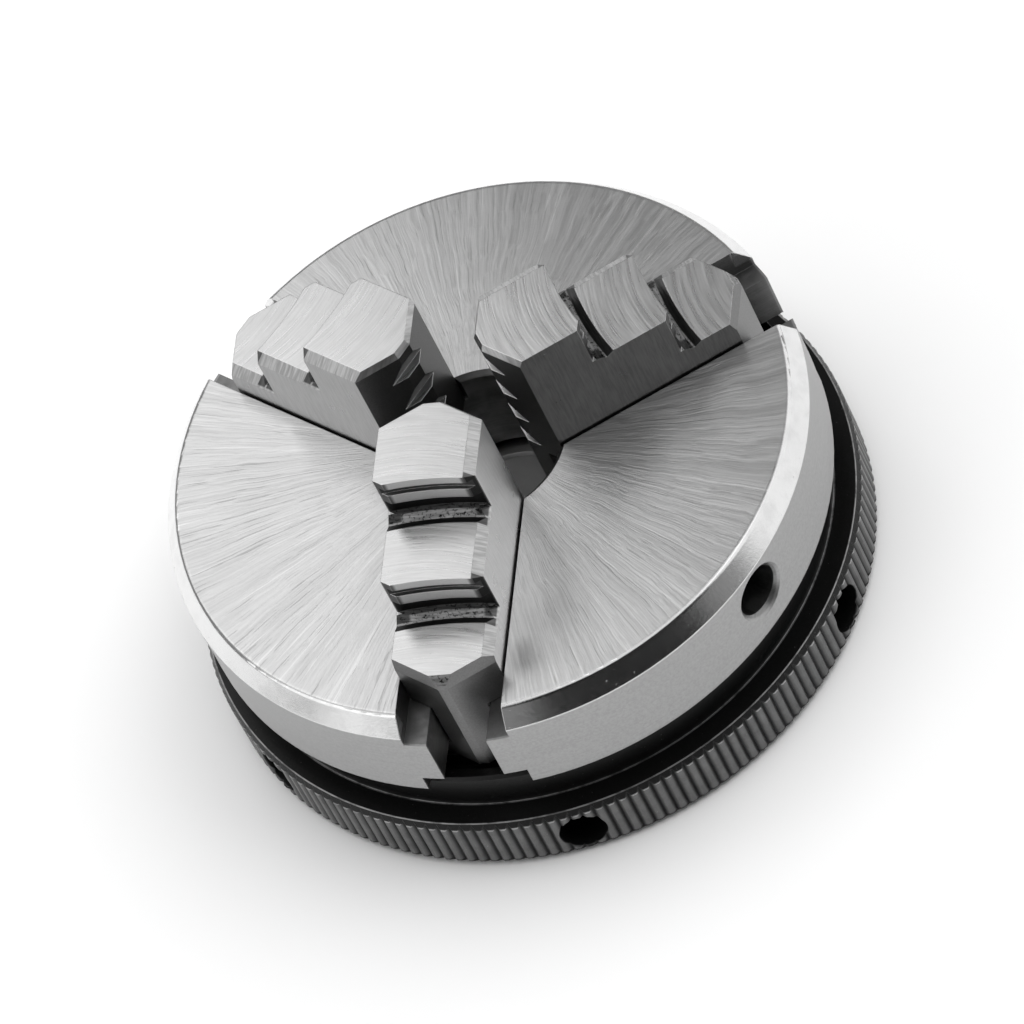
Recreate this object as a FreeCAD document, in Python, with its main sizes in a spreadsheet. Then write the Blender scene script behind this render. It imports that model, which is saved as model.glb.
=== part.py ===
import FreeCAD, Part
import math
import os
import Sketcher

# Three-jaw scroll chuck, hand turned with bars. +Z runs along the spindle axis towards the
# jaws, and the origin is the centre of the rear face that rests on the spindle shoulder.
# Every length is in millimetres. The jaws are drawn along +X and then turned to their slots.

doc = FreeCAD.newDocument("chuck")
sheet = doc.addObject("Spreadsheet::Sheet", "Sizes")

SIZES = [
    # body disc and hub
    ("face_height", "22.3"), ("body_radius", "31.5"), ("body_underside", "11.3"),
    ("rim_flat_radius", "29.8"), ("rim_round_radius", "30.3"), ("rim_round_drop", "0.27"),
    ("rim_middle_radius", "30.08"), ("rim_middle_drop", "0.07"), ("rim_drop", "2.05"),
    ("edge_break", "0.3"),
    ("bore_radius", "8"), ("bore_edge_radius", "8.5"), ("bore_edge_drop", "0.5"),
    ("bore_floor", "11.4"), ("register_radius", "9.03"), ("hub_radius", "13"), ("hub_end", "4"),
    ("slot_floor", "11"), ("slot_half_width", "5.1"), ("rib_half_gap", "2.9"),
    ("rib_bottom", "13.5"), ("rib_top", "19.2"), ("slot_reach", "36"), ("slot_top", "24"),
    ("body_bar_radius", "2.5"), ("body_bar_height", "16.7"), ("body_bar_floor", "19.5"),
    # scroll ring
    ("ring_radius", "32.75"), ("ring_rear", "0.4"), ("ring_rear_bevel", "0.8"),
    ("ring_bevel_radius", "32.35"), ("knurl_top", "6.1"), ("ring_shoulder", "6.85"),
    ("neck_radius", "30.15"), ("ring_front", "11.1"), ("ring_bore_radius", "13.04"),
    ("recess_radius", "22.25"), ("recess_floor", "4.15"),
    ("knurl_count", "174"), ("knurl_depth", "0.32"), ("knurl_half_width", "0.5"),
    ("ring_bar_count", "6"), ("ring_bar_radius", "2.3"), ("ring_bar_height", "3.25"),
    ("ring_bar_floor", "25"), ("ring_bar_azimuth", "-16.6"), ("ring_bar_lead", "0.13"),
    # scroll groove
    ("pitch", "3"), ("groove_width", "1.6"), ("groove_floor", "9.2"),
    ("groove_start_radius", "12"), ("groove_end_radius", "31.2"), ("groove_front_radius", "28.2"),
    # rear plate and its screws
    ("plate_radius", "22"), ("plate_front", "4"), ("spigot_radius", "9"), ("spigot_end", "10.7"),
    ("thread_radius", "6.46"), ("thread_lead_in", "0.75"), ("screw_circle", "11"),
    ("screw_hole_radius", "1.55"), ("screw_hole_end", "10.5"), ("countersink_depth", "1.35"),
    ("screw_radius", "1.48"), ("screw_end", "9.6"), ("head_rear", "0.15"),
    ("head_radius", "2.68"), ("head_front", "1.35"), ("socket_flat", "1"), ("socket_depth", "1.1"),
    # jaws
    ("nose_start", "4.15"), ("nose_half_width", "0.9"), ("jaw_half_width", "4.9"),
    ("jaw_end", "28.6"), ("end_half_width", "0.45"), ("foot_bottom", "11.3"),
    ("step_top", "35.7"), ("step_middle", "30.6"), ("step_low", "25.5"),
    ("riser_inner", "12.97"), ("riser_outer", "20.72"), ("riser_curve", "30"),
    ("web_half_width", "2.7"), ("guide_bottom", "13.4"), ("guide_top", "19.3"),
    ("left_bevel_width", "1"), ("left_bevel_drop", "0.6"),
    ("corner_in", "0.47"), ("corner_width", "1.3"),
    ("nose_bevel_width", "0.35"), ("nose_bevel_drop", "0.65"),
    ("end_bevel_width", "0.35"), ("end_bevel_drop", "1.3"),
    ("tip_bevel_width", "0.78"), ("tip_bevel_drop", "1"),
    ("notch_pitch", "3.9"), ("notch_first", "32"), ("notch_depth", "0.85"), ("notch_rise", "2"),
    ("tooth_front", "19.2"), ("tooth_thickness", "1.3"), ("tooth_bottom", "9.5"),
    ("tooth_hollow_radius", "34"), ("tooth_round_radius", "13"),
]
for row, (alias, value) in enumerate(SIZES, 1):
    sheet.set("A%d" % row, alias)
    sheet.set("B%d" % row, value)
    sheet.setAlias("B%d" % row, alias)
doc.recompute()

JAW_AZIMUTHS = (-90, 30, 150)
REAL_BODIES = []


def val(alias):
    return float(sheet.get(alias))


def expr(text):
    """Turn 'a + b' written with plain size names into an expression on the sheet."""
    words = text.replace("(", "( ").replace(")", " )").split()
    return " ".join("Sizes." + w if w[0].isalpha() else w for w in words)


def measure(text):
    """Value of a sum or difference of sizes such as 'a + b - c' or '- a'."""
    total, sign = 0.0, 1.0
    for word in text.split():
        if word == "+":
            sign = 1.0
        elif word == "-":
            sign = -1.0
        else:
            total += sign * (val(word) if word[0].isalpha() else float(word))
            sign = 1.0
    return total


def new_body(label):
    body = doc.addObject("PartDesign::Body", label + "_body")
    body.Label = label
    return body


def new_sketch(body, name, plane, lift=None, shift=None):
    """Sketch on one of the body's own origin planes, lifted along its normal."""
    sketch = body.newObject("Sketcher::SketchObject", name)
    support = [f for f in body.Origin.OriginFeatures if f.Role == plane][0]
    sketch.AttachmentSupport = (support, [""])
    sketch.MapMode = "FlatFace"
    if lift:
        sketch.setExpression("AttachmentOffset.Base.z", expr(lift))
    if shift:
        sketch.setExpression("AttachmentOffset.Base.x", expr(shift))
    return sketch


def fix_point(sketch, geo, pos, x_text, y_text):
    for kind, text in (("DistanceX", x_text), ("DistanceY", y_text)):
        index = sketch.addConstraint(Sketcher.Constraint(kind, -1, 1, geo, pos, measure(text)))
        if any(c.isalpha() for c in text):
            sketch.setExpression("Constraints[%d]" % index, expr(text))


def outline(sketch, corners):
    """Closed outline through corners, each a pair of size sums. A corner of three items
    ends an arc, the third being a pair that the arc passes through on the way there."""
    points = [FreeCAD.Vector(measure(c[0]), measure(c[1]), 0) for c in corners]
    first = sketch.GeometryCount
    count = len(corners)
    for i in range(count):
        end = corners[(i + 1) % count]
        start_point, end_point = points[i], points[(i + 1) % count]
        if len(end) == 3:
            middle = FreeCAD.Vector(measure(end[2][0]), measure(end[2][1]), 0)
            sketch.addGeometry(Part.Arc(start_point, middle, end_point))
        else:
            sketch.addGeometry(Part.LineSegment(start_point, end_point))
    for i in range(count):
        end = corners[(i + 1) % count]
        geo = first + i
        after = first + (i + 1) % count
        if len(end) == 3:
            # an arc's own start and end depend on which way round it runs
            runs_forward = sketch.Geometry[geo].StartPoint.distanceToPoint(points[i]) < 1e-6
            here = 2 if runs_forward else 1
        else:
            here = 2
        there = 1
        if len(corners[(i + 2) % count]) == 3:
            arc = sketch.Geometry[after]
            there = 1 if arc.StartPoint.distanceToPoint(points[(i + 1) % count]) < 1e-6 else 2
        sketch.addConstraint(Sketcher.Constraint("Coincident", geo, here, after, there))
        fix_point(sketch, after, there, end[0], end[1])


def circle(sketch, x_text, y_text, radius_text):
    centre = FreeCAD.Vector(measure(x_text), measure(y_text), 0)
    geo = sketch.addGeometry(Part.Circle(centre, FreeCAD.Vector(0, 0, 1), measure(radius_text)))
    fix_point(sketch, geo, 3, x_text, y_text)
    index = sketch.addConstraint(Sketcher.Constraint("Radius", geo, measure(radius_text)))
    sketch.setExpression("Constraints[%d]" % index, expr(radius_text))


def revolve(body, name, sketch, cut=False):
    kind = "PartDesign::Groove" if cut else "PartDesign::Revolution"
    feature = body.newObject(kind, name)
    feature.Profile = sketch
    feature.ReferenceAxis = (sketch, ["V_Axis"])
    feature.Angle = 360
    doc.recompute()
    return feature


def pad(body, name, sketch, length, down=False):
    feature = body.newObject("PartDesign::Pad", name)
    feature.Profile = sketch
    feature.setExpression("Length", expr(length))
    feature.Reversed = down
    doc.recompute()
    return feature


def pocket(body, name, sketch, length=None, forward=False, both=False, taper=None):
    """Cut a sketch. It cuts against the sketch's normal unless forward is set."""
    feature = body.newObject("PartDesign::Pocket", name)
    feature.Profile = sketch
    if both:
        feature.Type = "ThroughAll"
        feature.Midplane = True
    else:
        feature.setExpression("Length", expr(length))
    if taper:
        feature.TaperAngle = taper
    feature.Reversed = forward
    doc.recompute()
    return feature


def bevel_point(body, kind, tag, base, level, near, far):
    """Steep bevel on the short top edges of a jaw's point: those at a level between two X
    limits."""
    names = []
    for index, edge in enumerate(base.Shape.Edges, 1):
        box = edge.BoundBox
        flat = abs(box.ZMin - level) < 1e-4 and abs(box.ZMax - level) < 1e-4
        if flat and box.XMin > near and box.XMax < far and box.XLength < 4 and box.YLength < 8:
            names.append("Edge%d" % index)
    feature = body.newObject("PartDesign::Chamfer", kind + tag)
    feature.Base = (base, names)
    feature.ChamferType = "Two distances"
    feature.setExpression("Size", "Sizes.%s_drop" % kind)
    feature.setExpression("Size2", "Sizes.%s_width" % kind)
    doc.recompute()
    return feature


def around(body, name, features, count):
    """Repeat features evenly round the spindle axis."""
    pattern = body.newObject("PartDesign::PolarPattern", name)
    pattern.Originals = features
    axis = [f for f in body.Origin.OriginFeatures if f.Role == "Z_Axis"][0]
    pattern.Axis = (axis, [""])
    pattern.Angle = 360
    if isinstance(count, str):
        pattern.setExpression("Occurrences", expr(count))
    else:
        pattern.Occurrences = count
    doc.recompute()
    body.Tip = pattern
    return pattern


# ---------------------------------------------------------------- body
body = new_body("chuck_body")
turned = new_sketch(body, "body_profile", "XZ_Plane")
outline(turned, [
    ("register_radius", "hub_end"),
    ("hub_radius - edge_break", "hub_end"),
    ("hub_radius", "hub_end + edge_break"),
    ("hub_radius", "body_underside"),
    ("body_radius - edge_break", "body_underside"),
    ("body_radius", "body_underside + edge_break"),
    ("body_radius", "face_height - rim_drop"),
    ("rim_round_radius", "face_height - rim_round_drop"),
    ("rim_flat_radius", "face_height", ("rim_middle_radius", "face_height - rim_middle_drop")),
    ("bore_edge_radius", "face_height"),
    ("bore_radius", "face_height - bore_edge_drop"),
    ("bore_radius", "bore_floor"),
    ("register_radius", "bore_floor"),
])
revolve(body, "body_turned", turned)

slot = new_sketch(body, "slot_profile", "XZ_Plane")
outline(slot, [
    ("- slot_half_width", "slot_floor"),
    ("slot_half_width", "slot_floor"),
    ("slot_half_width", "rib_bottom"),
    ("rib_half_gap", "rib_bottom"),
    ("rib_half_gap", "rib_top"),
    ("slot_half_width", "rib_top"),
    ("slot_half_width", "slot_top"),
    ("- slot_half_width", "slot_top"),
    ("- slot_half_width", "rib_top"),
    ("- rib_half_gap", "rib_top"),
    ("- rib_half_gap", "rib_bottom"),
    ("- slot_half_width", "rib_bottom"),
])
around(body, "slots", [pocket(body, "slot", slot, "slot_reach", forward=True)], 3)

bar_hole = new_sketch(body, "bar_hole_circle", "XZ_Plane", lift="- body_bar_floor")
circle(bar_hole, "0", "body_bar_height", "body_bar_radius")
bar_lead = new_sketch(body, "bar_lead_circle", "XZ_Plane", lift="- body_radius + 0.55")
circle(bar_lead, "0", "body_bar_height", "body_bar_radius")
around(body, "bar_holes", [
    pocket(body, "bar_hole", bar_hole, "slot_reach - body_bar_floor"),
    pocket(body, "bar_lead", bar_lead, "edge_break + 1.5", taper=45),
], 3)

tapped = new_sketch(body, "tapped_circle", "XY_Plane", lift="hub_end")
circle(tapped, "0", "screw_circle", "screw_hole_radius")
around(body, "tapped_holes", [
    pocket(body, "tapped_hole", tapped, "screw_hole_end - hub_end", forward=True),
], 3)
REAL_BODIES.append(body)

# ---------------------------------------------------------------- rear plate
plate = new_body("rear_plate")
turned = new_sketch(plate, "plate_profile", "XZ_Plane")
outline(turned, [
    ("thread_radius + thread_lead_in", "0"),
    ("plate_radius - edge_break", "0"),
    ("plate_radius", "edge_break"),
    ("plate_radius", "plate_front"),
    ("spigot_radius", "plate_front"),
    ("spigot_radius", "spigot_end - edge_break"),
    ("spigot_radius - edge_break", "spigot_end"),
    ("thread_radius + edge_break", "spigot_end"),
    ("thread_radius", "spigot_end - edge_break"),
    ("thread_radius", "thread_lead_in"),
])
revolve(plate, "plate_turned", turned)
through = new_sketch(plate, "screw_circle_sketch", "XY_Plane", lift="plate_front + 1")
circle(through, "0", "screw_circle", "screw_hole_radius")
sink = new_sketch(plate, "countersink_circle", "XY_Plane", lift="countersink_depth")
circle(sink, "0", "screw_circle", "screw_hole_radius")
around(plate, "screw_holes", [
    pocket(plate, "screw_hole", through, "plate_front + 2"),
    pocket(plate, "countersink", sink, "countersink_depth + 0.2", taper=45),
], 3)
REAL_BODIES.append(plate)

# ---------------------------------------------------------------- plate screws
for number, azimuth in enumerate((90, 210, 330), 1):
    screw = new_body("plate_screw_%d" % number)
    turned = new_sketch(screw, "screw_profile_%d" % number, "XZ_Plane")
    outline(turned, [
        ("0", "head_rear"),
        ("head_radius", "head_rear"),
        ("screw_radius", "head_front"),
        ("screw_radius", "screw_end - edge_break"),
        ("screw_radius - edge_break", "screw_end"),
        ("0", "screw_end"),
    ])
    revolve(screw, "screw_turned_%d" % number, turned)
    socket = new_sketch(screw, "socket_%d" % number, "XY_Plane", lift="head_rear")
    corner = val("socket_flat") / math.cos(math.pi / 6)
    ends = [FreeCAD.Vector(corner * math.cos(math.pi * k / 3), corner * math.sin(math.pi * k / 3), 0)
            for k in range(6)]
    for k in range(6):
        socket.addGeometry(Part.LineSegment(ends[k], ends[(k + 1) % 6]))
    pocket(screw, "socket_cut_%d" % number, socket, "socket_depth", forward=True)
    turn = FreeCAD.Rotation(FreeCAD.Vector(0, 0, 1), azimuth)
    place = turn.multVec(FreeCAD.Vector(val("screw_circle"), 0, 0))
    screw.Placement = FreeCAD.Placement(place, turn)
    REAL_BODIES.append(screw)

# ---------------------------------------------------------------- scroll ring
blank = new_body("scroll_ring_blank")
turned = new_sketch(blank, "ring_profile", "XZ_Plane")
outline(turned, [
    ("ring_bore_radius", "recess_floor + edge_break"),
    ("ring_bore_radius + edge_break", "recess_floor"),
    ("recess_radius", "recess_floor"),
    ("recess_radius", "ring_rear + edge_break"),
    ("recess_radius + edge_break", "ring_rear"),
    ("ring_bevel_radius", "ring_rear"),
    ("ring_radius", "ring_rear_bevel"),
    ("ring_radius", "knurl_top"),
    ("ring_bevel_radius", "ring_shoulder"),
    ("neck_radius", "ring_shoulder"),
    ("neck_radius", "ring_front - edge_break"),
    ("neck_radius - edge_break", "ring_front"),
    ("ring_bore_radius + edge_break", "ring_front"),
    ("ring_bore_radius", "ring_front - edge_break"),
])
revolve(blank, "ring_turned", turned)

knurl = new_sketch(blank, "knurl_groove", "XY_Plane", lift="ring_rear - 0.1")
outline(knurl, [
    ("ring_radius - knurl_depth", "0"),
    ("ring_radius + 0.1", "knurl_half_width"),
    ("ring_radius + 0.1", "- knurl_half_width"),
])
around(blank, "knurl", [
    pocket(blank, "knurl_cut", knurl, "ring_shoulder - ring_rear", forward=True),
], "knurl_count")

ring_hole = new_sketch(blank, "ring_hole_circle", "XZ_Plane", lift="- ring_bar_floor")
circle(ring_hole, "0", "ring_bar_height", "ring_bar_radius")
ring_lead = new_sketch(blank, "ring_lead_circle", "XZ_Plane", lift="- ring_radius + ring_bar_lead")
circle(ring_lead, "0", "ring_bar_height", "ring_bar_radius")
around(blank, "ring_bar_holes", [
    pocket(blank, "ring_bar_hole", ring_hole, "slot_reach - ring_bar_floor"),
    pocket(blank, "ring_bar_lead_cut", ring_lead, "ring_bar_lead + 0.4", taper=45),
], "ring_bar_count")
blank.Placement = FreeCAD.Placement(
    FreeCAD.Vector(), FreeCAD.Rotation(FreeCAD.Vector(0, 0, 1), val("ring_bar_azimuth") - 30))

path = doc.addObject("Part::Spiral", "scroll_path")
path.setExpression("Growth", "Sizes.pitch")
path.setExpression("Radius", "Sizes.groove_start_radius")
path.setExpression("Rotations", "( Sizes.groove_end_radius - Sizes.groove_start_radius ) / Sizes.pitch")
tool = doc.addObject("Part::Plane", "groove_section")
tool.setExpression("Length", "Sizes.groove_width")
tool.setExpression("Width", "Sizes.ring_front - Sizes.groove_floor + 0.5")
tool.Placement = FreeCAD.Placement(
    FreeCAD.Vector(val("groove_start_radius") - val("groove_width") / 2, 0, 0),
    FreeCAD.Rotation(FreeCAD.Vector(1, 0, 0), 90))
groove = doc.addObject("Part::Sweep", "scroll_groove")
groove.Sections = [tool]
groove.Spine = (path, [])
groove.Solid = True
groove.Frenet = True
# The groove is turned so that its centre line crosses the front jaw at groove_front_radius.
turns = (val("groove_front_radius") - val("groove_start_radius")) / val("pitch")
groove.Placement = FreeCAD.Placement(
    FreeCAD.Vector(0, 0, val("groove_floor")),
    FreeCAD.Rotation(FreeCAD.Vector(0, 0, 1), JAW_AZIMUTHS[0] - 360 * turns))
doc.recompute()
ring = doc.addObject("Part::Cut", "scroll_ring")
ring.Base = blank
ring.Tool = groove
doc.recompute()
REAL_BODIES.append(ring)


# ---------------------------------------------------------------- jaws
def riser_outline(sketch, low, top):
    """What is cut away outside a step: riser with a grip groove, an undercut at its foot
    and a shallow relief in the floor. X is minus the distance from the riser's own axis."""
    corners = [("10", low), ("riser_curve - 1.53", low), ("riser_curve - 0.73", low + " - 0.4"),
               ("riser_curve + 0.57", low + " + 0.1"), ("riser_curve + 0.57", low + " + 1.9"),
               ("riser_curve", low + " + 1.9"), ("riser_curve", low + " + 3.2"),
               ("riser_curve + 0.45", low + " + 3.2"), ("riser_curve + 0.45", low + " + 4.15"),
               ("riser_curve", low + " + 4.15"), ("riser_curve", top + " + 1"), ("10", top + " + 1")]
    mirrored = []
    for across, height in corners:
        parts = across.split()
        flipped = "- " + parts[0]
        if len(parts) == 3:
            flipped += (" + " if parts[1] == "-" else " - ") + parts[2]
        mirrored.append((flipped, height))
    outline(sketch, mirrored)


def make_jaw(number, azimuth, tooth_shift):
    jaw = new_body("jaw_%d" % number)
    tag = "_%d" % number
    # the two 120 degree points fall back from nose and end by width * tan 30
    slope = math.tan(math.pi / 6)
    nose_run = (val("jaw_half_width") - val("nose_half_width")) * slope
    end_run = (val("jaw_half_width") - val("end_half_width")) * slope
    nose_text = "nose_start + %.4f" % nose_run
    end_text = "jaw_end - %.4f" % end_run
    plan = new_sketch(jaw, "plan" + tag, "XY_Plane", lift="foot_bottom")
    outline(plan, [
        ("nose_start", "- nose_half_width"), (nose_text, "- jaw_half_width"),
        (end_text, "- jaw_half_width"), ("jaw_end", "- end_half_width"),
        ("jaw_end", "end_half_width"), (end_text, "jaw_half_width"),
        (nose_text, "jaw_half_width"), ("nose_start", "nose_half_width"),
    ])
    blank_block = pad(jaw, "blank" + tag, plan, "step_top - foot_bottom")
    bevel_point(jaw, "nose_bevel", tag, blank_block, val("step_top"),
                0, val("nose_start") + nose_run + 0.1)

    guides = new_sketch(jaw, "guides" + tag, "YZ_Plane")
    for side in ("", "- "):
        outline(guides, [(side + "web_half_width", "guide_bottom"), (side + "slot_reach", "guide_bottom"),
                         (side + "slot_reach", "guide_top"), (side + "web_half_width", "guide_top")])
    pocket(jaw, "guide_grooves" + tag, guides, both=True)

    steps = (("inner", "riser_inner", "step_middle", "step_top"),
             ("outer", "riser_outer", "step_low", "step_middle"))
    for name, riser, low, top in steps:
        arc = new_sketch(jaw, name + "_riser" + tag, "XZ_Plane", shift=riser + " + riser_curve")
        riser_outline(arc, low, top)
        stepped = revolve(jaw, name + "_step" + tag, arc, cut=True)
    bevel_point(jaw, "end_bevel", tag, stepped, val("step_low"),
                val("jaw_end") - end_run - 0.1, val("jaw_end") + 1)

    tip = new_sketch(jaw, "tip_bevel" + tag, "XZ_Plane")
    outline(tip, [("jaw_end - tip_bevel_width", "step_low"),
                  ("jaw_end + tip_bevel_width", "step_low"),
                  ("jaw_end + tip_bevel_width", "step_low - tip_bevel_drop - tip_bevel_drop")])
    pocket(jaw, "tip_bevel_cut" + tag, tip, both=True)

    bevels = (("top", "2", "riser_inner - 0.5", "step_top"),
              ("middle", "riser_inner - 0.3", "riser_outer + 1.8 - riser_inner", "step_middle"),
              ("low", "riser_outer - 0.3", "jaw_end + 1.3 - riser_outer", "step_low"))
    for name, start, length, level in bevels:
        wedge = new_sketch(jaw, name + "_bevel" + tag, "YZ_Plane", lift=start)
        outer = "jaw_half_width + left_bevel_width"
        outline(wedge, [("jaw_half_width - left_bevel_width", level), (outer, level),
                        (outer, level + " - left_bevel_drop - left_bevel_drop")])
        pocket(jaw, name + "_bevel_cut" + tag, wedge, length, forward=True)

    for name, riser, low, top in steps:
        corner = new_sketch(jaw, name + "_corner" + tag, "XY_Plane", lift=low)
        for side in ("", "- "):
            away = "+ " if side == "" else "- "
            back = "- " if side == "" else "+ "
            outline(corner, [
                (riser + " - corner_in", side + "jaw_half_width " + away + "edge_break"),
                (riser + " + 0.43", side + "jaw_half_width " + back + "corner_width"),
                (riser + " + 1", side + "jaw_half_width " + away + "edge_break"),
            ])
        pocket(jaw, name + "_corner_cut" + tag, corner, top + " - " + low + " + 1", forward=True)

    notches = new_sketch(jaw, "notches" + tag, "XZ_Plane")
    reach = 0.45
    rise = val("notch_rise") * (val("notch_depth") + reach) / val("notch_depth")
    for k in range(4):
        floor = "notch_first - %.4f" % (k * val("notch_pitch"))
        outline(notches, [("nose_start - %.2f" % reach, floor),
                          ("nose_start + notch_depth", floor),
                          ("nose_start - %.2f" % reach, floor + " + %.4f" % rise)])
    pocket(jaw, "notch_cuts" + tag, notches, both=True)

    # teeth: hollow towards the axis and rounder on the outside, so they clear every turn
    teeth = new_sketch(jaw, "teeth" + tag, "XY_Plane", lift="foot_bottom")
    wide = val("jaw_half_width")
    half = val("tooth_thickness") / 2
    hollow, rounded = val("tooth_hollow_radius"), val("tooth_round_radius")
    for k in range(3):
        centre = val("tooth_front") + tooth_shift + k * val("pitch")
        near, far = centre - half, centre + half
        near_end = near - hollow + math.sqrt(hollow ** 2 - wide ** 2)
        far_end = far - rounded + math.sqrt(rounded ** 2 - wide ** 2)
        corners = [FreeCAD.Vector(near_end, -wide, 0), FreeCAD.Vector(far_end, -wide, 0),
                   FreeCAD.Vector(far_end, wide, 0), FreeCAD.Vector(near_end, wide, 0)]
        teeth.addGeometry(Part.LineSegment(corners[0], corners[1]))
        teeth.addGeometry(Part.Arc(corners[1], FreeCAD.Vector(far, 0, 0), corners[2]))
        teeth.addGeometry(Part.LineSegment(corners[2], corners[3]))
        teeth.addGeometry(Part.Arc(corners[3], FreeCAD.Vector(near, 0, 0), corners[0]))
    pad(jaw, "tooth_pads" + tag, teeth, "foot_bottom - tooth_bottom", down=True)
    jaw.Placement = FreeCAD.Placement(
        FreeCAD.Vector(), FreeCAD.Rotation(FreeCAD.Vector(0, 0, 1), azimuth))
    REAL_BODIES.append(jaw)


third = val("pitch") / 3
for number, (azimuth, tooth_shift) in enumerate(zip(JAW_AZIMUTHS, (0, third, -third)), 1):
    make_jaw(number, azimuth, tooth_shift)

doc.recompute()
for item in doc.Objects:
    bad = [s for s in item.State if s in ("Invalid", "Error")]
    if bad:
        raise RuntimeError("%s (%s) is %s" % (item.Name, item.Label, bad))

os.makedirs("parts", exist_ok=True)
for item in REAL_BODIES:
    shape = item.Shape
    if shape.isNull() or not shape.isValid() or len(shape.Solids) != 1:
        raise RuntimeError("%s has a bad shape: %d solids" % (item.Label, len(shape.Solids)))
    shape.exportStep("parts/%s.step" % item.Label)
    box = shape.BoundBox
    print("%-14s volume %9.1f  box %.2f %.2f %.2f  to %.2f %.2f %.2f" % (
        item.Label, shape.Volume, box.XMin, box.YMin, box.ZMin, box.XMax, box.YMax, box.ZMax))
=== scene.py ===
import math

import bpy
from mathutils import Matrix, Vector


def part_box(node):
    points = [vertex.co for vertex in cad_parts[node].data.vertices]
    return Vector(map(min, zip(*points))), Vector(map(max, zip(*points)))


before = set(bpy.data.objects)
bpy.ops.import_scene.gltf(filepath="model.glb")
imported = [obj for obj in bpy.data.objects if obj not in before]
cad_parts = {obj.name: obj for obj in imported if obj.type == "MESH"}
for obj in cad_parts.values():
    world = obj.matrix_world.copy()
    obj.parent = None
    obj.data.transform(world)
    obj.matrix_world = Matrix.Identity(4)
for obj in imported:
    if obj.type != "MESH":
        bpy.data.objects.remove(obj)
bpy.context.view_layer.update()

# Three-jaw scroll chuck on a pale floor. Objects, lights and the camera are in metres, with +Z
# along the spindle axis and the rear face at 0. The masks and patterns of the materials are in
# millimetres, from each node's own coordinates; bump depths and edge radii are in metres.

# each jaw's azimuth in degrees and the painted light on its ground sides: a lighter or darker tone
# for each jaw by how light falls on it
JAWS = {"jaw_1": (-90, 0.80), "jaw_2": (30, 0.20), "jaw_3": (150, 0.34)}
FACE_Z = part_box("chuck_body")[1].z
FACE_MM = FACE_Z * 1000

# where one finish gives way to the next, as the two ends of a soft change
RIM_START = (29.6, 29.9)        # radius at which the face turns into the bevelled rim
RIM_DEPTH = (2.25, 2.0)         # how far below the face the rim ends
SIDE_START = (31.2, 31.35)      # radius of the body's side
FACE_DEPTH = (0.2, 0.1)         # how far below the face its ground finish ends
KNURL_START = (31.9, 32.1)      # radius at which the ring's knurled band starts
KNURL_TOP = (6.15, 6.05)        # height at which the knurled band ends
RIDGE_START = (32.45, 32.72)    # radius of the knurl's crowns
RIDGE_BOTTOM = (0.85, 1.0)      # height at which the crowns start

# the ring's edges, which get a painted highlight, patchy with wear, as radius and height
RING_SHOULDER = (32.35, 6.85)
RING_BORE_EDGE = (30.2, 6.85)
KNURL_EDGE_RADIUS, KNURL_EDGE_Z = (32.6, 32.7), 6.1

# each jaw's two curved risers: distance from the axis and height of the step below
RISERS = ((12.97, 30.6), (20.72, 25.5))
RISER_RADIUS = 30
RISER_MIDDLE, RISER_HALF_HEIGHT = 2.3, 2.75     # of its shaded height, above the step
# painted shade goes on a riser's groove, corner cut and relief lip, and a painted highlight on its
# land
# bands across a riser: distance outwards from its front, and half width
GROOVE = (-0.37, 0.24)
CORNER = (0.0, 0.5)
CORNER_START = (3.4, 3.8)       # distance from the jaw's middle plane at which corners are cut
RELIEF_LIP = (1.15, 0.4)
LAND = (0.0, 0.06)
PAINTED_SHADE_SHARE = 0.76                # share of the tone that a groove, corner or lip loses

BUMP_STRENGTH = 0.5
FINE_RELIEF, COARSE_RELIEF = 0.00002, 0.00003
BODY_EDGE, EDGE, SCREW_EDGE = 0.00012, 0.0001, 0.00008      # radii of the broken edges


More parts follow.
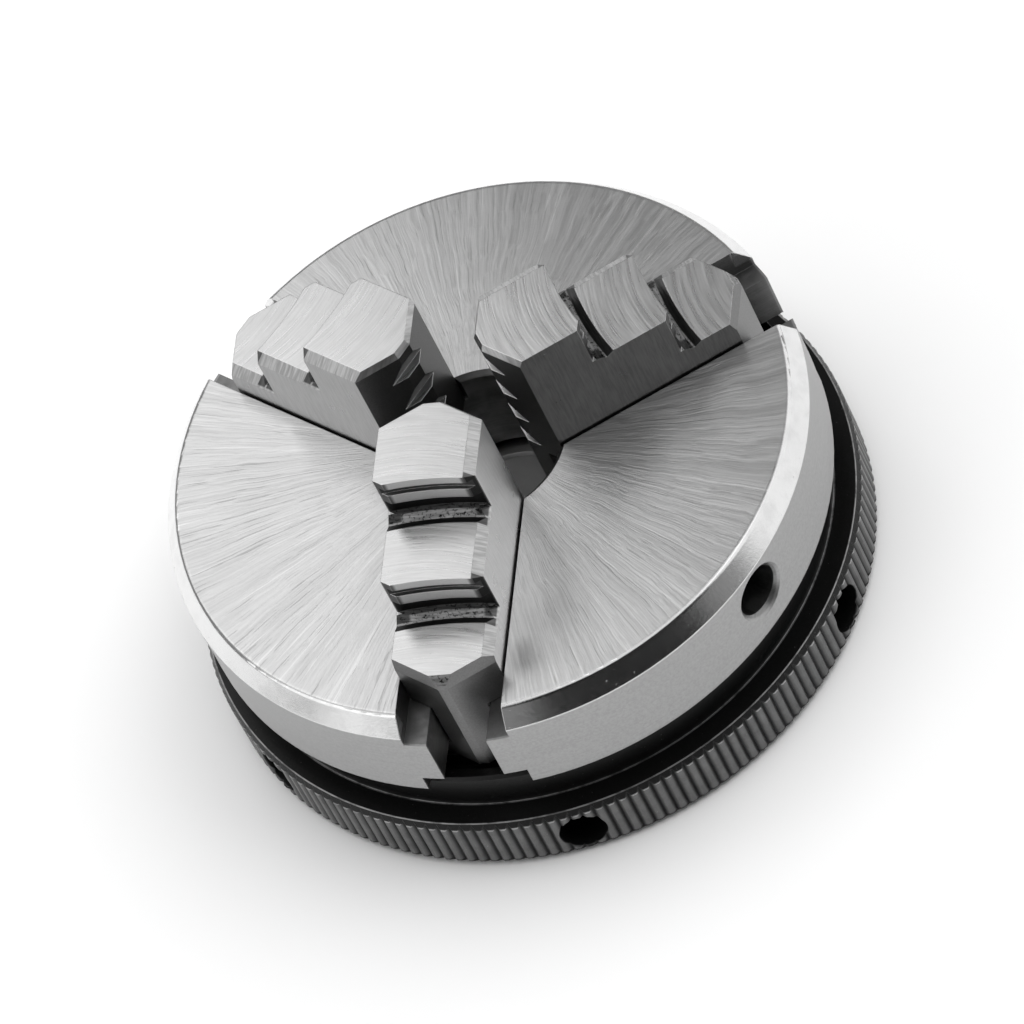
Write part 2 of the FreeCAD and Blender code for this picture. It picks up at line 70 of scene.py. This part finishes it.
# ---------------------------------------------------------------- shader node helpers
class Tree:
    """A material's node tree, with one short call for each kind of node used here."""

    def __init__(self, name):
        self.material = bpy.data.materials.new(name)
        self.material.use_nodes = True
        self.nodes = self.material.node_tree.nodes
        self.links = self.material.node_tree.links
        self.nodes.clear()
        coords = self.nodes.new("ShaderNodeTexCoord")
        self.position = self.millimetres(coords.outputs["Object"])
        self.x, self.y, self.z = self.split(self.position)
        self.radius = self.math("SQRT", self.math("ADD", self.math("MULTIPLY", self.x, self.x),
                                                  self.math("MULTIPLY", self.y, self.y)))
        self.normal_x, self.normal_y, self.normal_z = self.split(coords.outputs["Normal"])

    def put(self, socket, value):
        """Link a socket to another, or set it to a plain value."""
        if isinstance(value, bpy.types.NodeSocket):
            self.links.new(value, socket)
        else:
            socket.default_value = value

    def math(self, operation, a, b=None):
        node = self.nodes.new("ShaderNodeMath")
        node.operation = operation
        self.put(node.inputs[0], a)
        if b is not None:
            self.put(node.inputs[1], b)
        return node.outputs[0]

    def inverse(self, mask):
        return self.math("SUBTRACT", 1.0, mask)

    def millimetres(self, metres):
        node = self.nodes.new("ShaderNodeVectorMath")
        node.operation = "SCALE"
        self.put(node.inputs[0], metres)
        node.inputs["Scale"].default_value = 1000
        return node.outputs["Vector"]

    def split(self, vector):
        node = self.nodes.new("ShaderNodeSeparateXYZ")
        self.put(node.inputs[0], vector)
        return node.outputs

    def join(self, x, y, z):
        node = self.nodes.new("ShaderNodeCombineXYZ")
        for socket, value in zip(node.inputs, (x, y, z)):
            self.put(socket, value)
        return node.outputs[0]

    def ramp(self, value, low, high, start=0.0, end=1.0):
        """start below low, end above high, and a smooth change between them."""
        node = self.nodes.new("ShaderNodeMapRange")
        node.interpolation_type = "SMOOTHSTEP"
        for name, number in (("Value", value), ("From Min", low), ("From Max", high),
                             ("To Min", start), ("To Max", end)):
            self.put(node.inputs[name], number)
        return node.outputs["Result"]

    def near(self, value, centre, half_width, soft):
        """1 within half_width of centre, falling to 0 over soft."""
        gap = self.math("ABSOLUTE", self.math("SUBTRACT", value, centre))
        return self.ramp(gap, half_width, half_width + soft, 1.0, 0.0)

    def noise(self, vector, scale, detail=2.0, roughness=0.5):
        node = self.nodes.new("ShaderNodeTexNoise")
        self.put(node.inputs["Vector"], vector)
        node.inputs["Scale"].default_value = scale
        node.inputs["Detail"].default_value = detail
        node.inputs["Roughness"].default_value = roughness
        return node.outputs["Fac"]

    def product(self, *factors):
        result = factors[0]
        for factor in factors[1:]:
            result = self.math("MULTIPLY", result, factor)
        return result

    def total(self, *terms):
        result = terms[0]
        for term in terms[1:]:
            result = self.math("ADD", result, term)
        return result

    def grey(self, value):
        node = self.nodes.new("ShaderNodeCombineColor")
        for socket in node.inputs:
            self.put(socket, value)
        return node.outputs[0]

    def bump(self, height, depth, edge_radius):
        """Normals of a relief that is depth deep, which turn over each sharp edge within
        edge_radius, for the small break on it."""
        edges = self.nodes.new("ShaderNodeBevel")
        edges.samples = 6
        edges.inputs["Radius"].default_value = edge_radius
        node = self.nodes.new("ShaderNodeBump")
        node.inputs["Strength"].default_value = BUMP_STRENGTH
        node.inputs["Distance"].default_value = depth
        self.put(node.inputs["Height"], height)
        self.put(node.inputs["Normal"], edges.outputs[0])
        return node.outputs[0]

    def metal(self, tone, roughness, normal, anisotropy=0.0, metallic=1.0):
        node = self.nodes.new("ShaderNodeBsdfPrincipled")
        self.put(node.inputs["Base Color"], self.grey(tone))
        self.put(node.inputs["Roughness"], roughness)
        self.put(node.inputs["Normal"], normal)
        node.inputs["Metallic"].default_value = metallic
        if anisotropy:
            node.inputs["Anisotropic"].default_value = anisotropy
            tangent = self.nodes.new("ShaderNodeTangent")
            tangent.direction_type = "RADIAL"
            tangent.axis = "Z"
            self.links.new(tangent.outputs[0], node.inputs["Tangent"])
        return node.outputs[0]

    def blend(self, factor, first, second):
        node = self.nodes.new("ShaderNodeMixShader")
        self.put(node.inputs[0], factor)
        self.links.new(first, node.inputs[1])
        self.links.new(second, node.inputs[2])
        return node.outputs[0]

    def finish(self, shader):
        output = self.nodes.new("ShaderNodeOutputMaterial")
        self.links.new(shader, output.inputs["Surface"])
        return self.material

    # patterns shared by several materials
    def sway(self, scale, reach):
        """Shift of up to half of reach either way; a small scale makes it change slowly."""
        return self.product(self.math("SUBTRACT", self.noise(self.position, scale), 0.5), reach)

    def fan(self, fineness, along, wave=0.0):
        """Streaks that run out from the spindle axis, fineness of them to the radian, which
        change slowly along their length and sway sideways by wave."""
        spread = self.math("DIVIDE", fineness, self.math("MAXIMUM", self.radius, 0.5))
        x, y = self.x, self.y
        if wave:
            x = self.math("ADD", x, self.sway(0.16, wave))
            y = self.math("ADD", y, self.sway(0.21, wave))
        vector = self.join(self.math("MULTIPLY", x, spread), self.math("MULTIPLY", y, spread),
                           self.math("MULTIPLY", self.radius, along))
        return self.ramp(self.noise(vector, 1.0, 2.0, 0.6), 0.3, 0.7)

    def hoops(self, fineness):
        """Turned marks: lines round the axis, fineness of them to the millimetre."""
        vector = self.join(self.math("MULTIPLY", self.x, 0.08),
                           self.math("MULTIPLY", self.y, 0.08),
                           self.math("MULTIPLY", self.z, fineness))
        return self.noise(vector, 1.0, 3.0, 0.6)

    def rings(self, fineness):
        """Faced marks: circles round the axis on a flat end."""
        return self.noise(self.join(self.math("MULTIPLY", self.radius, fineness),
                                    self.math("MULTIPLY", self.x, 0.06),
                                    self.math("MULTIPLY", self.y, 0.06)), 1.0, 3.0, 0.6)

    def specks(self, scale, share):
        """Small sharp spots; a larger share covers more of the surface."""
        return self.ramp(self.noise(self.position, scale, 3.0, 0.7), 0.76 - share, 0.82 - share)


# ---------------------------------------------------------------- materials
def body_steel():
    """Ground face with streaks that fan out, polished rim, satin side and turned insides."""
    t = Tree("body_steel")
    broad, middle, fine = t.fan(11, 0.05, 1.6), t.fan(58, 0.05, 1.4), t.fan(125, 0.08, 0.9)
    dark_hair = t.ramp(t.fan(96, 0.07, 0.5), 0.86, 0.98)
    light_hair = t.ramp(t.fan(74, 0.05), 0.88, 0.99)
    blotch = t.noise(t.position, 0.12, 3.0, 0.55)
    swirl = t.noise(t.join(t.math("ADD", t.x, t.product(t.noise(t.position, 0.2), 8.0)),
                           t.product(t.y, 6.0), 0.0), 1.2, 2.0, 0.6)
    face_tone = t.total(0.50, t.product(broad, 0.05), t.product(middle, 0.09),
                        t.product(fine, 0.08), t.product(blotch, 0.06), t.product(swirl, 0.05),
                        t.product(dark_hair, -0.11), t.product(light_hair, 0.10))
    face_rough = t.total(0.27, t.product(middle, 0.08), t.product(swirl, 0.05),
                         t.product(dark_hair, 0.08))
    face_bump = t.bump(t.total(t.product(fine, 0.5), t.product(middle, 0.5),
                               t.product(dark_hair, -0.5)), FINE_RELIEF, BODY_EDGE)
    face = t.metal(face_tone, face_rough, face_bump, anisotropy=0.65)

    on_rim = t.product(t.ramp(t.radius, *RIM_START),
                       t.ramp(t.z, *(FACE_MM - depth for depth in RIM_DEPTH)))
    outside = t.product(t.ramp(t.radius, *SIDE_START), t.inverse(on_rim))
    inside = t.inverse(t.math("MAXIMUM", on_rim, outside))
    turned = t.hoops(9.0)
    satin = t.ramp(t.noise(t.position, 3.2, 4.0, 0.7), 0.3, 0.7)
    grime = t.ramp(t.noise(t.position, 0.45, 4.0, 0.6), 0.42, 0.72)
    nicks = t.product(t.specks(2.6, 0.06), on_rim)
    tone = t.total(
        t.product(on_rim, t.total(0.80, t.product(nicks, -0.45), t.product(grime, -0.08))),
        t.product(outside, t.total(0.31, t.product(turned, 0.08), t.product(satin, 0.08))),
        t.product(inside, t.total(0.16, t.product(turned, 0.16), t.product(grime, -0.05))))
    rough = t.total(t.product(on_rim, t.total(0.13, t.product(satin, 0.06))),
                    t.product(outside, t.total(0.40, t.product(satin, 0.10))),
                    t.product(inside, t.total(0.34, t.product(grime, 0.18))))
    height = t.total(t.product(turned, t.total(t.product(outside, 0.5), t.product(inside, 1.2))),
                     t.product(satin, 0.2), t.product(nicks, -1.5))
    sides = t.metal(tone, rough, t.bump(height, FINE_RELIEF, BODY_EDGE))

    on_face = t.product(t.ramp(t.normal_z, 0.9, 0.98),
                        t.ramp(t.z, *(FACE_MM - depth for depth in FACE_DEPTH)))
    return t.finish(t.blend(on_face, sides, face))


def jaw_steel(name, azimuth, painted_side_light):
    """Ground steel for the jaw that points along azimuth; along runs outwards on the jaw and
    across runs counter-clockwise from its middle plane."""
    t = Tree(name)
    turn = math.radians(azimuth)
    cos, sin = math.cos(turn), math.sin(turn)
    along = t.total(t.product(t.x, cos), t.product(t.y, sin))
    across = t.math("SUBTRACT", t.product(t.y, cos), t.product(t.x, sin))
    side_normal = t.math("ABSOLUTE", t.math("SUBTRACT", t.product(t.normal_y, cos),
                                            t.product(t.normal_x, sin)))
    end_normal = t.total(t.product(t.normal_x, cos), t.product(t.normal_y, sin))

    # arcs left by the grinding wheel on the tops, fine strokes on the bevels and sides
    bow = t.product(across, across, -0.03)
    arc = t.total(along, bow, t.product(across, -0.12))
    coarse = t.ramp(t.noise(t.join(t.product(arc, 2.4), t.product(across, 0.1), 0.0),
                            1.0, 2.0, 0.6), 0.3, 0.7)
    fine = t.ramp(t.noise(t.join(t.product(arc, 5.0), t.product(across, 0.2), 3.0),
                          1.0, 2.0, 0.6), 0.3, 0.7)
    strokes = t.ramp(t.noise(t.join(t.product(along, 4.0), t.product(across, 0.4),
                                    t.product(t.z, 0.35)), 1.0, 2.0, 0.6), 0.3, 0.7)
    blotch = t.noise(t.position, 0.35, 3.0, 0.6)
    grain = t.noise(t.position, 6.0, 4.0, 0.7)

    # tops, sloping facets, ground sides, everything else, and the reliefs in front of the risers
    flat = t.ramp(t.normal_z, 0.96, 0.99)
    slope = t.product(t.ramp(t.normal_z, 0.3, 0.5), t.inverse(flat))
    side = t.product(t.ramp(side_normal, 0.9, 0.97), t.ramp(t.normal_z, 0.3, 0.1))
    rest = t.inverse(t.total(flat, slope, side))
    relief = t.product(slope, t.ramp(end_normal, 0.05, 0.1), t.ramp(side_normal, 0.3, 0.1))
    pits = t.specks(3.0, 0.22)

    # the risers' grooves, undercuts and corner cuts and the lip where each relief ends get painted
    # shade, and the lands between the grooves a painted highlight
    curved = t.math("SUBTRACT", along, t.product(across, across, 1 / (2 * RISER_RADIUS)))
    painted_shade, land_highlight = 0.0, 0.0
    for riser, step in RISERS:
        depth = t.math("SUBTRACT", curved, riser)
        level = t.near(t.z, step + RISER_MIDDLE, RISER_HALF_HEIGHT, 0.1)
        groove = t.near(depth, *GROOVE, 0.05)
        corner = t.product(t.near(depth, *CORNER, 0.1),
                           t.ramp(t.math("ABSOLUTE", across), *CORNER_START))
        lip = t.product(t.near(depth, *RELIEF_LIP, 0.05), t.ramp(t.z, step - 0.01, step - 0.05))
        shade_band = t.math("MAXIMUM", t.math("MAXIMUM", groove, corner), lip)
        painted_shade = t.math("ADD", painted_shade, t.product(level, shade_band))
        # painted highlight on the land between the grooves
        land_highlight = t.math("ADD", land_highlight, t.product(level, t.near(depth, *LAND, 0.04)))
    painted_shade = t.product(painted_shade, t.inverse(t.math("MAXIMUM", flat, side)))
    # each groove, corner cut and lip loses this share of its tone as painted shade
    keep = t.inverse(t.product(painted_shade, PAINTED_SHADE_SHARE))

    # the ground sides take this jaw's own painted light level, lighter or darker by how light
    # falls on that jaw
    tone = t.product(keep, t.total(
        t.product(flat, t.total(0.56, t.product(coarse, 0.08), t.product(fine, 0.08),
                                t.product(blotch, 0.10))),
        t.product(slope, t.total(0.38, t.product(strokes, 0.20), t.product(relief, -0.18),
                                 t.product(relief, pits, -0.2))),
        t.product(side, t.total(painted_side_light, t.product(strokes, 0.06), t.product(blotch, 0.08))),
        t.product(rest, t.total(0.12, t.product(grain, 0.14), t.product(land_highlight, 0.36)))))
    rough = t.total(t.product(flat, t.total(0.26, t.product(coarse, 0.10))),
                    t.product(slope, 0.36), t.product(side, t.total(0.24, t.product(blotch, 0.1))),
                    t.product(rest, 0.38))
    height = t.total(t.product(flat, t.total(t.product(coarse, 0.3), t.product(fine, 0.35))),
                     t.product(slope, strokes), t.product(side, t.product(strokes, 0.7)),
                     t.product(rest, grain), t.product(relief, t.product(grain, 2.0)))
    return t.finish(t.metal(tone, rough, t.bump(height, FINE_RELIEF, EDGE)))


def ring_black():
    """Black oxide, worn on the knurl's crowns, with a painted highlight, patchy with wear, along
    the ring's edges.
    """
    t = Tree("ring_black")
    turned = t.hoops(7.0)
    faced = t.rings(7.0)
    grain = t.noise(t.position, 5.0, 4.0, 0.7)
    worn = t.noise(t.position, 0.5, 4.0, 0.65)
    specks = t.specks(3.2, 0.07)
    knurl_band = t.product(t.ramp(t.radius, *KNURL_START), t.ramp(t.z, *KNURL_TOP))
    ridge = t.product(knurl_band, t.ramp(t.radius, *RIDGE_START), t.ramp(t.z, *RIDGE_BOTTOM))
    shoulder_radius, shoulder_z = RING_SHOULDER
    bore_radius, bore_z = RING_BORE_EDGE
    shoulder = t.product(t.near(t.radius, shoulder_radius, 0.05, 0.06),
                         t.near(t.z, shoulder_z, 0.05, 0.06))
    knurl_edge = t.product(t.ramp(t.radius, *KNURL_EDGE_RADIUS),
                           t.near(t.z, KNURL_EDGE_Z, 0.05, 0.06))
    bore_edge = t.product(t.near(t.radius, bore_radius, 0.08, 0.06),
                          t.near(t.z, bore_z, 0.03, 0.03))
    # painted highlight along the ring's edges, made patchy by the wear noise
    edge_highlights = t.product(t.math("MAXIMUM", t.math("MAXIMUM", shoulder, knurl_edge), bore_edge),
                      t.ramp(worn, 0.36, 0.56, 0.35, 1.0))
    tone = t.total(0.014, t.product(grain, 0.016), t.product(specks, 0.16),
                   t.product(ridge, t.total(0.05, t.product(worn, 0.16))),
                   t.product(edge_highlights, 0.30))
    rough = t.total(0.26, t.product(grain, 0.14), t.product(knurl_band, 0.10))
    height = t.total(t.product(turned, 0.5), t.product(faced, 0.4), t.product(grain, 0.8),
                     t.product(specks, 0.8))
    return t.finish(t.metal(tone, rough, t.bump(height, COARSE_RELIEF, EDGE), metallic=0.85))


def plate_steel():
    """Turned steel with a few stains and scratches."""
    t = Tree("plate_steel")
    faced, turned = t.rings(6.0), t.hoops(6.0)
    stain = t.noise(t.position, 0.25, 4.0, 0.6)
    scratches = t.specks(1.7, 0.04)
    tone = t.total(0.30, t.product(faced, 0.22), t.product(stain, 0.16),
                   t.product(scratches, -0.12))
    rough = t.total(0.24, t.product(stain, 0.16))
    height = t.total(faced, t.product(turned, 0.6), t.product(scratches, -0.6))
    return t.finish(t.metal(tone, rough, t.bump(height, COARSE_RELIEF, EDGE)))


def screw_steel():
    """Black oxide, rubbed in places."""
    t = Tree("screw_steel")
    grain = t.noise(t.position, 5.0, 4.0, 0.7)
    rubbed = t.ramp(t.noise(t.position, 1.4, 3.0, 0.6), 0.5, 0.7)
    tone = t.total(0.02, t.product(grain, 0.02), t.product(rubbed, 0.08))
    rough = t.total(0.28, t.product(grain, 0.16))
    return t.finish(t.metal(tone, rough, t.bump(grain, FINE_RELIEF, SCREW_EDGE), metallic=0.85))


def paint(node, material):
    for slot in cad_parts[node].material_slots:
        slot.material = material


paint("chuck_body", body_steel())
paint("scroll_ring", ring_black())
paint("rear_plate", plate_steel())
screw_material = screw_steel()
for number in (1, 2, 3):
    paint("plate_screw_%d" % number, screw_material)
for jaw, (azimuth, painted_side_light) in JAWS.items():
    paint(jaw, jaw_steel("steel_" + jaw, azimuth, painted_side_light))


# ---------------------------------------------------------------- floor, light and camera
def aim(thing, place, target):
    thing.location = place
    thing.rotation_mode = "QUATERNION"
    thing.rotation_quaternion = (Vector(target) - Vector(place)).to_track_quat("-Z", "Y")


def direction(azimuth, elevation):
    """Unit vector; azimuth is counted from +X towards +Y, elevation from the floor up."""
    a, e = math.radians(azimuth), math.radians(elevation)
    return Vector((math.cos(a) * math.cos(e), math.sin(a) * math.cos(e), math.sin(e)))


def softbox(name, azimuth, elevation, distance, width, brightness, centre=(0, 0, 0.02)):
    """Square light that the camera doesn't see, with the same surface brightness at any width."""
    data = bpy.data.lights.new(name, "AREA")
    data.shape = "SQUARE"
    data.size = width
    data.energy = brightness * math.pi * width ** 2
    lamp = bpy.data.objects.new(name, data)
    bpy.context.scene.collection.objects.link(lamp)
    centre = Vector(centre)
    aim(lamp, centre + direction(azimuth, elevation) * distance, centre)
    lamp.visible_camera = False
    return lamp


FLOOR_HALF_WIDTH = 4.0
FLOOR_LEVEL = -0.00003      # just under the rear plate, so that the two faces don't coincide


def pale_floor():
    """A wide plane that the chuck stands on."""
    mesh = bpy.data.meshes.new("floor")
    corners = [(x * FLOOR_HALF_WIDTH, y * FLOOR_HALF_WIDTH, FLOOR_LEVEL)
               for x, y in ((-1, -1), (1, -1), (1, 1), (-1, 1))]
    mesh.from_pydata(corners, [], [(0, 1, 2, 3)])
    floor = bpy.data.objects.new("floor", mesh)
    bpy.context.scene.collection.objects.link(floor)
    material = bpy.data.materials.new("floor")
    material.use_nodes = True
    shader = material.node_tree.nodes["Principled BSDF"]
    shader.inputs["Base Color"].default_value = (0.93, 0.93, 0.93, 1)
    shader.inputs["Roughness"].default_value = 0.7
    mesh.materials.append(material)


ROOM_LEVEL = 0.24
# bright and dark parts of the room: azimuth, elevation, half angle and soft edge in degrees,
# and the brightness that each adds to the room's own level
ROOM_PARTS = (
    (28, 30, 34, 9, 0.80),      # wall on the right
    (-140, 24, 16, 12, 0.95),   # wall on the left
    (179, 52, 10, 14, 0.35),    # patch high on the left, behind the chuck
    (-20, 80, 16, 14, 0.65),    # overhead
    (-120, 50, 12, 12, 0.60),   # patch high on the left, before the chuck
    (-55, 34, 28, 9, -0.22),    # unlit side, towards the viewer
)


def studio_room():
    """World whose brightness changes with direction, for the steel to reflect."""
    world = bpy.data.worlds.new("studio")
    bpy.context.scene.world = world
    world.use_nodes = True
    nodes, links = world.node_tree.nodes, world.node_tree.links
    coords = nodes.new("ShaderNodeTexCoord")
    level = ROOM_LEVEL
    for azimuth, elevation, half_angle, soft, brightness in ROOM_PARTS:
        dot = nodes.new("ShaderNodeVectorMath")
        dot.operation = "DOT_PRODUCT"
        links.new(coords.outputs["Generated"], dot.inputs[0])
        dot.inputs[1].default_value = direction(azimuth, elevation)
        fall = nodes.new("ShaderNodeMapRange")
        fall.interpolation_type = "SMOOTHSTEP"
        fall.inputs["From Min"].default_value = math.cos(math.radians(half_angle + soft))
        fall.inputs["From Max"].default_value = math.cos(math.radians(half_angle))
        fall.inputs["To Min"].default_value = 0.0
        fall.inputs["To Max"].default_value = brightness
        links.new(dot.outputs["Value"], fall.inputs["Value"])
        add = nodes.new("ShaderNodeMath")
        add.operation = "ADD"
        links.new(fall.outputs["Result"], add.inputs[0])
        if isinstance(level, float):
            add.inputs[1].default_value = level
        else:
            links.new(level, add.inputs[1])
        level = add.outputs[0]
    links.new(level, nodes["Background"].inputs["Strength"])
    nodes["Background"].inputs["Color"].default_value = (1, 1, 1, 1)


# angles in degrees, the camera's place as seen from the point that it is aimed at
CAMERA_AZIMUTH, CAMERA_ELEVATION = -61.51, 51.53
CAMERA_ROLL = 28.17
CAMERA_DISTANCE = 0.8055
CAMERA_AIM = Vector((0.00404, -0.00818, FACE_Z))
FIELD_OF_VIEW = 6.768


def place_camera():
    data = bpy.data.cameras.new("camera")
    data.sensor_width = 36
    data.lens = data.sensor_width / 2 / math.tan(math.radians(FIELD_OF_VIEW / 2))
    data.clip_start, data.clip_end = 0.05, 20
    camera = bpy.data.objects.new("camera", data)
    bpy.context.scene.collection.objects.link(camera)
    back = direction(CAMERA_AZIMUTH, CAMERA_ELEVATION)
    level = (-back).to_track_quat("-Z", "Y").to_matrix()
    turn = level @ Matrix.Rotation(math.radians(-CAMERA_ROLL), 3, "Z")
    camera.location = CAMERA_AIM + back * CAMERA_DISTANCE
    camera.rotation_mode = "QUATERNION"
    camera.rotation_quaternion = turn.to_quaternion()
    bpy.context.scene.camera = camera


pale_floor()
studio_room()
# the face mirrors the key towards the camera, most of all at its lower left in the picture
softbox("key", azimuth=118.5, elevation=51.5, distance=0.20, width=0.15, brightness=1.08,
        centre=(-0.044, -0.070, 0.020))
floor_light = softbox("floor_light", azimuth=50, elevation=72, distance=1.2, width=1.7,
                      brightness=1.3)
floor_light.visible_glossy = False
place_camera()
bpy.context.scene.view_settings.view_transform = "Standard"
